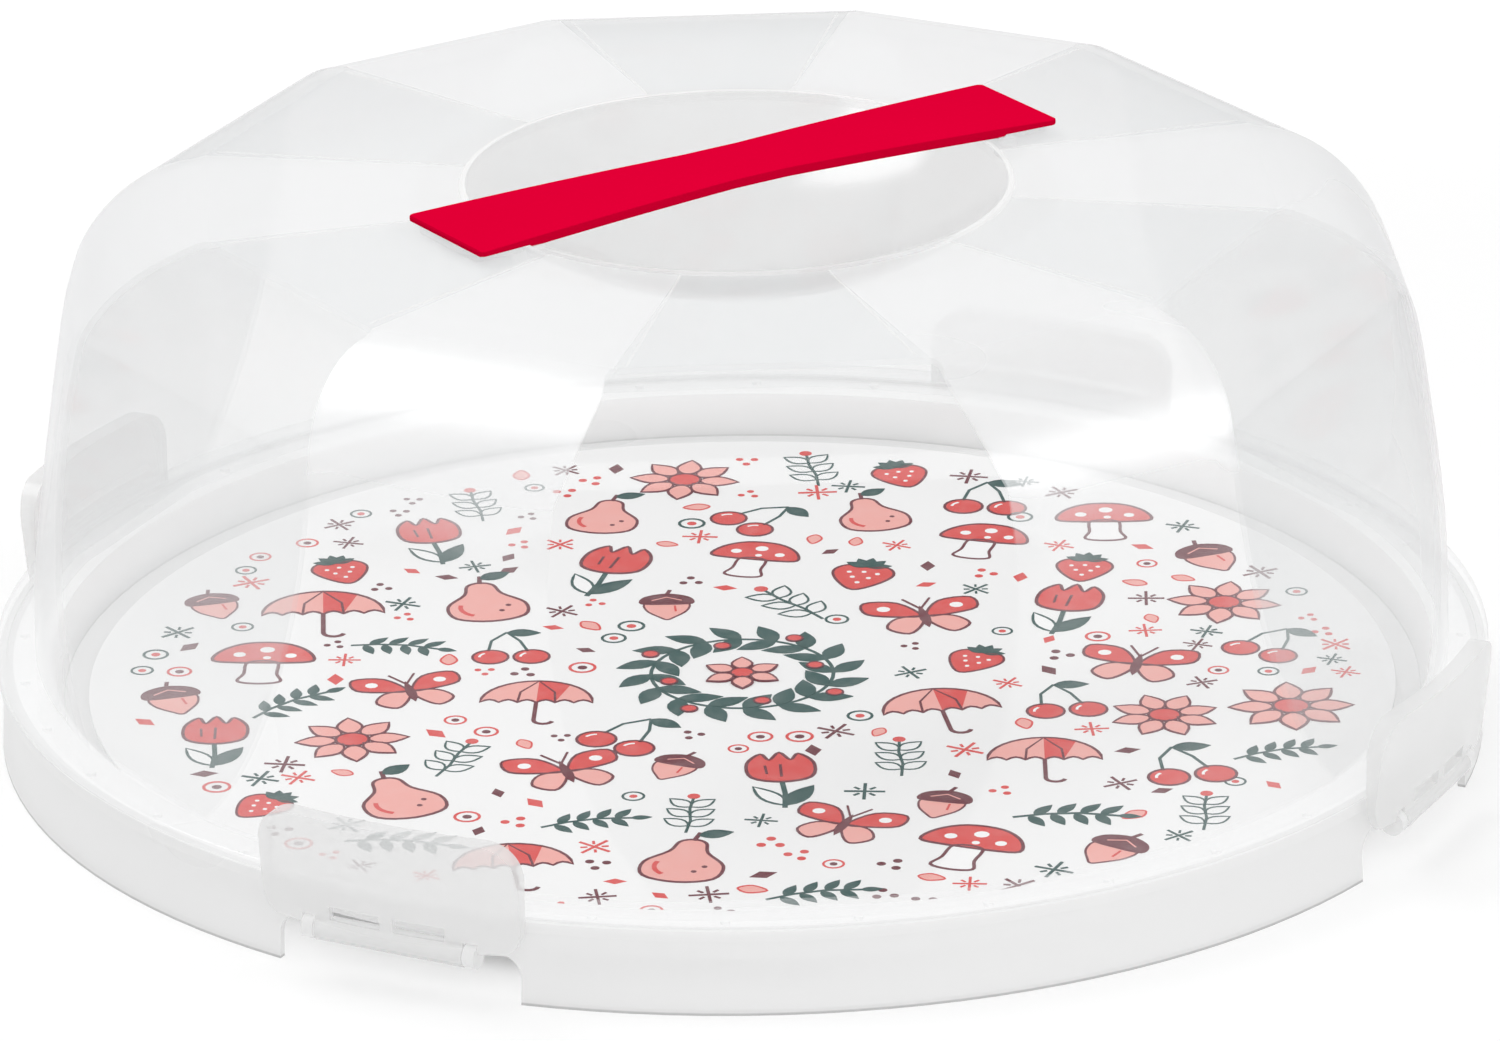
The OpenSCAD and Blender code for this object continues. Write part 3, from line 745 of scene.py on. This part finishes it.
# Faces turned away from the top are painted a darker red: painted shade, where less light falls.
RED.set(
    Base_Color=RED.mix_colour(facing_up_for_painted_shade.step(0.2, 0.9), from_screen(196, 0, 44), face),
    Roughness=0.38 + 0.16 * grain,
    Normal=RED.bump(grain, 0.08, 0.0006),
    Specular_IOR_Level=0.0,
)
handle_bar.data.materials.append(RED.material)
handle_bar.visible_diffuse = False
handle_bar.visible_glossy = False
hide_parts("handle")
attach(handle_bar, "lid")


# %% [markdown]
# ## The printed floor
#
# A thin film with a scattered pattern lies on the tray's floor. The motifs here are plain garden and kitchen
# shapes of this lesson's own: daisies, tulips, leaf sprigs, pears, cherries, berries, mushrooms, umbrellas,
# butterflies and acorns, with small sparks, rings and dots between them, in coral, pale pink, burgundy, deep
# green and white. Ink has crisp edges, so each shape is a real thin layer rather than a texture: a fill lies
# low, and its outline lies a little higher.

# %% Shapes of ink: filled outlines and pen strokes
FILM_TOP, INK_THICK, INK_STEP, LINE_LIFT = 10.0, 0.04, 0.005, 0.03
PEN = 0.6


def smooth_loop(corners):
    """A closed smooth curve through corners."""
    p, loop = np.array(corners, float), []
    for i in range(len(p)):
        a, b, c, d = p[i - 1], p[i], p[(i + 1) % len(p)], p[(i + 2) % len(p)]
        for t in (0, 0.25, 0.5, 0.75):
            bend, twist = 2 * a - 5 * b + 4 * c - d, 3 * b - a - 3 * c + d
            loop.append(0.5 * (2 * b + (c - a) * t + bend * t**2 + twist * t**3))
    return [tuple(q) for q in loop]


class Drawing:
    """One motif: the layers of ink that it is made of."""

    def __init__(self):
        self.layers = []

    def fill(self, ink, outline):
        self.layers.append((ink, outline, ()))
        return self

    def pen(self, ink, line, width=PEN, closed=False):
        self.layers.append((ink, line, (width, closed)))
        return self

    def shape(self, ink, outline, width=PEN, edge="burgundy"):
        return self.fill(ink, outline).pen(edge, outline, width, True)


# %% The motifs, about 20 mm high each
def leaf(length, width):
    xs = np.linspace(0, 1, 7)
    upper = [(length * x, width * math.sin(math.pi * x**0.85)) for x in xs]
    return upper + [(x, -y) for x, y in upper[-2:0:-1]]


def mirrored(left):
    """The other half of a motif's outline, which goes on where the left half ends."""
    return [(-x, y) for x, y in left[::-1]]


def daisy():
    d = Drawing()
    for k in range(8):
        d.shape("pink", turned([(x + 2.6, y) for x, y in leaf(7.6, 2.3)], 45 * k), 0.5)
    return d.shape("coral", circle(0, 0, 3.0), 0.55)


def tulip():
    left = [(-5, 1), (-5.6, 7), (-3.2, 11), (-1.8, 8.4)]
    cup = smooth_loop(left + [(0, 11.6)] + mirrored(left) + [(0, -1)])
    d = Drawing().pen("green", [(0, -1), (0.3, -6), (0, -12)], 0.9)
    for side, lean in ((1, 58), (-1, 122)):
        d.shape("green" if side > 0 else "white", turned(leaf(9.5, 1.7), lean, 0.1, -11), 0.5, "green")
    d.shape("coral", cup)
    d.pen("burgundy", [(0, 1.2), (0, 6.4)], 0.5)
    return d.pen("burgundy", [(-2.4, 2.4), (-2.6, 6)], 0.45)


def sprig():
    d = Drawing().pen("green", [(-11, -3), (-5, -0.6), (2, 0.8), (10, 0.4)], 0.8)
    upper = ((-7, -1.4, 62), (-2.5, 0, 60), (2, 0.8, 56), (6, 0.7, 50))
    lower = ((-8, -1.8, -52), (-3.6, -0.3, -58), (1, 0.6, -60), (5.2, 0.8, -56))
    for x, y, lean in upper + lower:
        d.fill("green", turned(leaf(6.4, 1.35), lean, x, y))
    return d.fill("green", turned(leaf(5.0, 1.2), 0, 9.5, 0.4))


def open_sprig():
    d = Drawing().pen("green", [(0, -11), (0.6, -4), (0, 3), (0.4, 9)], 0.7)
    for y, lean in ((-7, 35), (-7, 145), (-1.5, 38), (-1.5, 142), (4, 42), (4, 138)):
        d.pen("green", turned(leaf(7, 2.0), lean, 0.2, y), 0.5, True)
    return d.fill("coral", circle(0.4, 10.4, 1.5, 12))


def pear():
    left = [(-5.8, -7), (-6.6, -1.5), (-3.2, 3.4), (-2.2, 7.4)]
    body = smooth_loop([(0, -9)] + left + [(0, 8.6)] + mirrored(left))
    d = Drawing().shape("pink", body).pen("burgundy", [(0, 8.2), (0.5, 11.6)], 0.8)
    d.shape("green", turned(leaf(5.6, 1.5), 24, 0.5, 10.4), 0.4, "green")
    d.pen("coral", arc(-0.4, -2.6, 4.2, 160, 235, 8), 0.8)
    return d.fill("burgundy", circle(2.2, -4.4, 0.5, 8)).fill("burgundy", circle(3.6, -2.2, 0.5, 8))


def cherries():
    d = Drawing().pen("green", [(-4.4, -1), (-2.6, 5), (1.8, 9.4)], 0.7)
    d.pen("green", [(4.4, -3), (3.8, 3.6), (1.8, 9.4)], 0.7)
    d.shape("green", turned(leaf(7.6, 2.0), -14, 1.8, 9.2), 0.4, "green")
    for x, y in ((-4.6, -4.6), (4.6, -6.4)):
        d.shape("coral", circle(x, y, 4.1))
        d.pen("white", arc(x, y, 2.5, 110, 170, 6), 0.6)
    return d


def berry():
    left = [(-4.2, -4.6), (-6.4, 0.8), (-4.4, 4.6)]
    body = smooth_loop([(0, -8.6)] + left + [(0, 4.2)] + mirrored(left))
    d = Drawing().shape("coral", body)
    for k in range(5):
        d.shape("green", turned(leaf(5.0, 1.2), 20 + 35 * k, 0, 4.2), 0.3, "green")
    for x, y in ((-3, 0.8), (0, 1.4), (3, 0.8), (-1.7, -1.8), (1.7, -1.8), (0, -4.6)):
        d.fill("white", circle(x, y, 0.55, 8))
    return d


def mushroom():
    cap_left, stem_left = [(-8.6, 1), (-7.2, 5.6), (-3, 8.8)], [(-2.4, 0.2), (-2.8, -5), (-3.6, -8.4)]
    cap = smooth_loop(cap_left + mirrored(cap_left) + [(4, 0), (-4, 0)])
    stem = smooth_loop(stem_left + [(0, -9.4)] + mirrored(stem_left))
    d = Drawing().shape("white", stem).shape("coral", cap)
    for x, y, r in ((-4.2, 3.6, 1.1), (0.4, 5.8, 1.3), (4.6, 3.2, 1.0), (0.6, 2.2, 0.7)):
        d.fill("white", circle(x, y, r, 10))
    return d


def umbrella():
    top = arc(0, 0, 10.5, 0, 180, 17)
    steps = (0, 0.25, 0.5, 0.75)
    hem = [(3.5 * (k + s) - 10.5, 1.3 * math.sin(math.pi * s)) for k in range(6) for s in steps][1:]
    d = Drawing().shape("pink", top + hem)
    d.fill("coral", [(0, 10.5)] + arc(0, 0, 10.2, 88, 55, 6) + [(3.5, 0.3), (1.8, 1.5), (0, 0.3)])
    d.pen("burgundy", [(-3.5, 0.4), (-3.2, 5), (0, 10.4), (3.2, 5), (3.5, 0.4)], 0.45)
    return d.pen("burgundy", [(0, 0.4), (0, -8.6)] + arc(1.8, -8.6, 1.8, 180, 340, 8), 0.8)


def butterfly():
    d = Drawing()
    for side in (1, -1):
        upper = [(0.4, 0.4), (3.6, 6.8), (9.4, 7.6), (9.6, 2.6), (4, 0.4)]
        lower = [(0.4, 0), (5, -0.4), (7.2, -4.4), (4, -7.4), (1.2, -4)]
        for ink, wing in (("coral", upper), ("pink", lower)):
            d.shape(ink, smooth_loop([(x * side, y) for x, y in wing])[::side], 0.5)
        d.fill("white", circle(6.4 * side, 4.4, 1.2, 10))
        d.pen("burgundy", [(0.2 * side, 4), (2.4 * side, 8.4)], 0.4)
    return d.fill("burgundy", turned(leaf(10, 1.0), 90, 0, -5))


def acorn():
    left = [(-4.4, 1.2), (-4.6, -3.4), (-1.6, -7.6)]
    nut = smooth_loop(left + [(0, -9)] + mirrored(left))
    cap = smooth_loop([(-5.8, 0.8), (-5, 4.6), (0, 6.6), (5, 4.6), (5.8, 0.8), (0, 0.2)])
    d = Drawing().shape("pink", nut, 0.5).shape("burgundy", cap, 0.4)
    d.pen("burgundy", [(0, 6.2), (0.8, 9)], 0.9)
    d.pen("pink", [(-3.4, 2.6), (0, 4.6), (3.4, 2.6)], 0.4)
    return d.pen("coral", [(1.8, -0.6), (2, -4)], 0.5)


def spark(ink):
    d = Drawing()
    for k in range(4):
        d.pen(ink, [(0, 0), turned([(3.6, 0)], 90 * k)[0]], 0.6)
        d.pen(ink, turned([(1.3, 0), (2.6, 0)], 90 * k + 45), 0.5)
    return d


def ring_dot(ink, middle):
    return Drawing().pen(ink, circle(0, 0, 2.3, 16), 0.55, True).fill(middle, circle(0, 0, 0.9, 10))


def three_dots(ink):
    d = Drawing()
    for x, y in ((-1.6, -1), (1.6, -1), (0, 1.7)):
        d.fill(ink, circle(x, y, 0.85, 10))
    return d


def lozenge(ink):
    return Drawing().fill(ink, [(0, 2.6), (-1.5, 0), (0, -2.6), (1.5, 0)])


def drop():
    return Drawing().shape("pink", smooth_loop([(0, 3.4), (-1.6, 0.4), (0, -1.8), (1.6, 0.4)]), 0.4, "coral")


def wreath():
    """The large green wreath in the middle."""
    d, ring = Drawing().pen("green", circle(0, 0, 21, 48), 0.9, True), 21
    for k in range(16):
        at = 22.5 * k
        x, y = turned([(ring, 0)], at)[0]
        for tilt in (50, -44):
            d.fill("green", turned(leaf(10.5, 2.5), at + 90 + tilt, x, y))
    for k in range(8):
        x, y = turned([(ring + (3.4 if k % 2 else -3.6), 0)], 45 * k + 15)[0]
        d.shape("coral", circle(x, y, 1.9, 14), 0.5)
    for k in range(6):
        d.shape("pink", turned([(x + 2.2, y) for x, y in leaf(7.2, 2.4)], 60 * k + 30), 0.55)
    return d.shape("coral", circle(0, 0, 2.7), 0.55)


LARGE = [daisy(), tulip(), pear(), umbrella(), mushroom(), butterfly()]
MEDIUM = [sprig(), open_sprig(), cherries(), berry(), acorn()]
SMALL = [
    spark("coral"), spark("burgundy"), ring_dot("coral", "burgundy"), three_dots("coral"),
    lozenge("burgundy"), spark("green"), drop(), ring_dot("green", "coral"), three_dots("burgundy"),
    lozenge("coral"),
]
MOTIFS = LARGE + MEDIUM + SMALL + [wreath()]
print("motifs:", len(MOTIFS))


# %% Turn a drawing's layers in one ink into thin solids
def unit(vectors):
    return vectors / np.maximum(np.linalg.norm(vectors, axis=1, keepdims=True), 1e-9)


def prism(outline, low, high):
    n = len(outline)
    points = [(x, y, z) for z in (low, high) for x, y in outline]
    sides = [(i, (i + 1) % n, n + (i + 1) % n, n + i) for i in range(n)]
    return points, [tuple(range(n))[::-1], tuple(range(n, 2 * n))] + sides


def stroke(line, width, closed, low, high):
    p = np.array(line, float)
    ahead = np.roll(p, -1, 0) - p
    behind = p - np.roll(p, 1, 0)
    if not closed:
        ahead[-1], behind[0] = behind[-1], ahead[0]
    tangent = unit(unit(ahead) + unit(behind))
    side = np.stack([-tangent[:, 1], tangent[:, 0]], 1) * width / 2
    left, right, n = p + side, p - side, len(p)
    rows = ((left, low), (right, low), (right, high), (left, high))
    points = [(x, y, z) for row, z in rows for x, y in row]
    faces = []
    for i in range(n if closed else n - 1):
        j = (i + 1) % n
        faces += [(a * n + i, a * n + j, b * n + j, b * n + i) for a, b in ((0, 1), (1, 2), (2, 3), (3, 0))]
    if not closed:
        faces += [(0, n, 2 * n, 3 * n), (4 * n - 1, 3 * n - 1, 2 * n - 1, n - 1)]
    return points, faces


def ink_part(name, drawing, ink):
    """The layers of one drawing in one ink, as a mesh round the origin."""
    points, faces = [], []
    for level, (colour, outline, pen_line) in enumerate(drawing.layers):
        if colour != ink:
            continue
        high = INK_THICK + INK_STEP * level + (LINE_LIFT if pen_line else 0)
        p, f = stroke(outline, *pen_line, 0, high) if pen_line else prism(outline, 0, high)
        faces += [tuple(i + len(points) for i in face) for face in f]
        points += p
    return face_outward(new_object(name, points, faces, flat=True))


# %% [markdown]
# Large motifs are placed first, at random but never closer than their own size, then medium ones, and small
# ones fill the gaps. The middle is kept free for a green wreath. Large and medium motifs stand upright for
# the camera, give or take a lean. A fixed seed gives the same layout each time.

# %% Scatter the motifs
PRINT_R, WREATH_R = 143.0, 33.0
chance = np.random.default_rng(11)
placed = []


def free_spot(radius, tries):
    for _ in range(tries):
        r, a = (PRINT_R - radius) * math.sqrt(chance.random()), math.tau * chance.random()
        x, y = r * math.cos(a), r * math.sin(a)
        if math.hypot(x, y) < WREATH_R + radius:
            continue
        if all(math.hypot(x - px, y - py) > radius + reach for px, py, reach, *_ in placed):
            return x, y
    return None


def scatter(first, kinds, count, radius, sizes, lean, tries=500):
    """Places count motifs, number first and those after it in turn, each leaning up to lean degrees."""
    lean = math.radians(lean)
    for n in range(count):
        spot = free_spot(radius, tries)
        if spot:
            size = chance.uniform(*sizes)
            placed.append((*spot, radius, first + n % kinds, chance.uniform(-lean, lean), size))


UP_TURN = math.radians(26.5)
medium, small = len(LARGE), len(LARGE) + len(MEDIUM)
scatter(0, len(LARGE), count=30, radius=14.2, sizes=(1.2, 1.4), lean=22)
scatter(medium, len(MEDIUM), count=36, radius=10.6, sizes=(0.95, 1.15), lean=40)
scatter(small, len(SMALL), count=170, radius=4.1, sizes=(0.95, 1.3), lean=180, tries=900)
placed.append((0, 0, WREATH_R, len(MOTIFS) - 1, 0, 1.0))
print("motifs placed:", len(placed))

# %% [markdown]
# The places are a mesh of loose points with three attributes: which motif, how it is turned, and how large it
# is. One tree, run once for each ink, puts that ink's part of the motif on every point, so each ink ends as
# one mesh with one material.

# %% The scatter tree
def scatter_tree():
    kinds = {"Points": "Geometry", "Motifs": "Collection", "Ink": "Material", "Size": "Float"}
    tree, add = new_tree("scatter_motifs", kinds)

    def attribute(name, data_type="FLOAT"):
        made = add("GeometryNodeInputNamedAttribute", {"Name": name}, data_type=data_type)
        return made.outputs["Attribute"]

    given = add("NodeGroupInput").outputs
    values = {"Collection": given["Motifs"], "Separate Children": True}
    motifs = add("GeometryNodeCollectionInfo", values).outputs["Instances"]
    turn = add("ShaderNodeCombineXYZ", {"Z": attribute("turn")}).outputs[0]
    values = {0: attribute("size"), 1: given["Size"]}
    size = add("ShaderNodeMath", values, operation="MULTIPLY").outputs[0]
    values = {"Points": given["Points"], "Instance": motifs, "Pick Instance": True}
    values |= {"Instance Index": attribute("motif", "INT"), "Rotation": turn, "Scale": size}
    end_tree(add, add("GeometryNodeInstanceOnPoints", values), given["Ink"])
    return tree


# %% Ink finishes
PAPER_TONE, SHOW_THROUGH = 0.93, 0.16


def ink_finish(name, colour):
    """Printed ink: nearly even, a little thinner where the film's grain shows through."""
    finish = Finish(name)
    grain = finish.noise(260.0, 2.0)
    thin = tuple(c + (PAPER_TONE - c) * SHOW_THROUGH for c in colour[:3]) + (1.0,)
    inked = finish.mix_colour(grain**2, colour, thin)
    finish.set(Base_Color=inked, Roughness=0.45 + 0.1 * grain, Specular_IOR_Level=0.2)
    return finish.material


INK_COLOURS = {
    "white": from_screen(252, 252, 252),
    "pink": from_screen(243, 172, 164),
    "coral": from_screen(220, 64, 60),
    "burgundy": from_screen(100, 0, 32),
    "green": from_screen(0, 70, 66),
}
ink_materials = {ink: ink_finish(f"ink_{ink}", colour) for ink, colour in INK_COLOURS.items()}

# %% Print every ink
tree = scatter_tree()
holder_mesh = bpy.data.meshes.new("motif_places")
holder_mesh.from_pydata([(x * MM, y * MM, FILM_TOP * MM) for x, y, *_ in placed], [], [])
kinds, turns, sizes = (list(column) for column in list(zip(*placed))[3:])
for name, kind, values in (
    ("motif", "INT", kinds),
    ("turn", "FLOAT", [turn + UP_TURN for turn in turns]),
    ("size", "FLOAT", sizes),
):
    holder_mesh.attributes.new(name, kind, "POINT").data.foreach_set("value", values)
holder = put("motif_places", holder_mesh)
for ink in INK_COLOURS:
    parts = bpy.data.collections.new(f"parts_{ink}")
    for number, motif in enumerate(MOTIFS):
        part = ink_part(f"{number:02d}_{ink}", motif, ink)
        bpy.context.scene.collection.objects.unlink(part)
        parts.objects.link(part)
    printed = run_tree(holder, tree, f"print_{ink}", Motifs=parts, Ink=ink_materials[ink], Size=1.0)
    for part in list(parts.objects):
        bpy.data.objects.remove(part)
    bpy.data.collections.remove(parts)
    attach(printed, "tray")
bpy.data.objects.remove(holder)


# %% [markdown]
# ## The tray, its film and the latches
#
# These solids have the right shape already, so they only get their finish. The tray is milky, not clear. The
# latches are moulded from the same clear plastic as the dome, thicker and so hazier. Both glow a little: a
# painted light that stands in for light coming through the thin plastic.

# %% Dress the CAD solids
PAPER = Finish("floor_film")
grain = PAPER.noise(300.0, 2.0)
cloud = PAPER.noise(6.0, 2.0)
PAPER.set(
    Base_Color=PAPER.mix_colour(cloud, from_screen(246, 246, 246), from_screen(250, 250, 250)),
    Roughness=0.42 + 0.16 * grain,
    Normal=PAPER.bump(grain, 0.05, 0.0004),
)
dress = {"tray": MILKY, "floor_disc": PAPER.material}
dress |= {f"latch_{side}": LATCH for side in ("front", "right", "rear", "left")}
for node, finish in dress.items():
    dressed = frame["nodes"][node]
    dressed.data.materials.clear()
    dressed.data.materials.append(finish)
    print(node, "is dressed in", finish.name)


# %% [markdown]
# ## Studio
#
# The object stands in a white studio, seen through a long lens from over two metres away. The camera is
# turned about the vertical, raised from straight down, and rolled a little. The floor glows for it alone,
# weakly near the object and fully far off, so it keeps the shadow and fades to white. The world is brighter
# for the camera and in reflections than as a light, so that clear plastic mirrors a white room but isn't
# washed out. Three large lamps do the rest.

# %% Camera
camera = put("camera", bpy.data.cameras.new("camera"))
camera.data.sensor_width, camera.data.lens = 36.0, 240.0
camera.data.clip_end = 50.0
CAMERA_AT = Vector((950.4, -1906.1, 878.2))
turn = Matrix.Translation(CAMERA_AT * MM)
for degrees, axis in ((26.4431, "Z"), (68.6997, "X"), (-0.6081, "Z")):
    turn = turn @ Matrix.Rotation(math.radians(degrees), 4, axis)
camera.matrix_world = turn
bpy.context.scene.camera = camera
print("camera distance, mm:", round(CAMERA_AT.length), "lens, mm:", camera.data.lens)

# %% Floor
HALF_FLOOR, FLOOR_FADE, FLOOR_GLOW = 3000, (0.35, 1.4), 0.08
corners = [(x * HALF_FLOOR, y * HALF_FLOOR, 0) for x, y in ((-1, -1), (1, -1), (1, 1), (-1, 1))]
floor = new_object("floor", corners, [(0, 1, 2, 3)])
white = Finish("studio_floor")
seen_direct = white.node("ShaderNodeLightPath", output="Is Camera Ray")
away = white.node("ShaderNodeVectorMath", {"operation": "LENGTH"}, {0: white.place}, output="Value")
far = away.step(*FLOOR_FADE)
white.set(Base_Color=(0.93, 0.93, 0.93, 1), Roughness=0.7, Emission_Strength=1.0)
backdrop = white.mix_colour(far, (FLOOR_GLOW, FLOOR_GLOW, FLOOR_GLOW, 1), (1, 1, 1, 1))
white.set(Emission_Color=white.mix_colour(seen_direct, (0, 0, 0, 1), backdrop))
floor.data.materials.append(white.material)
print("floor, mm:", 2 * HALF_FLOOR)

# %% World
WORLD_LIGHT = 0.66
world = bpy.data.worlds.new("studio")
bpy.context.scene.world = world
sky, either = Nodes(world), operator("MAXIMUM")
seen = sky.node("ShaderNodeLightPath", output="Is Camera Ray")
for kind in ("Is Glossy Ray", "Is Transmission Ray"):
    seen = either(seen, sky.node("ShaderNodeLightPath", output=kind))
back = sky.tree.nodes["Background"].inputs
back["Color"].default_value = (1, 1, 1, 1)
sky.feed(back["Strength"], WORLD_LIGHT + (1 - WORLD_LIGHT) * seen)
print("world as a light:", WORLD_LIGHT)


# %% Lamps
LAMP_AIM = Vector((0, 0, 0.06))


def softbox(name, at, size, power):
    lamp = bpy.data.lights.new(name, "AREA")
    lamp.shape, lamp.size, lamp.size_y, lamp.energy = "RECTANGLE", *size, power
    box = put(name, lamp)
    box.location = at
    box.rotation_euler = (LAMP_AIM - Vector(at)).to_track_quat("-Z", "Y").to_euler()
    print(name, "watts:", power)


def towards(azimuth, elevation, distance):
    a, e = math.radians(azimuth), math.radians(elevation)
    return [distance * c for c in (math.cos(a) * math.cos(e), math.sin(a) * math.cos(e), math.sin(e))]


softbox("left_box", towards(176, 57, 2.1), (1.3, 0.85), 10)
softbox("right_box", towards(12, 34, 2.1), (0.8, 0.8), 5)
softbox("front_fill", towards(-64, 38, 2.4), (1.8, 0.9), 11)

# %% Colour and the last lines
scene = bpy.context.scene
scene.view_settings.view_transform = "Standard"
scene.cycles.transparent_max_bounces = 48
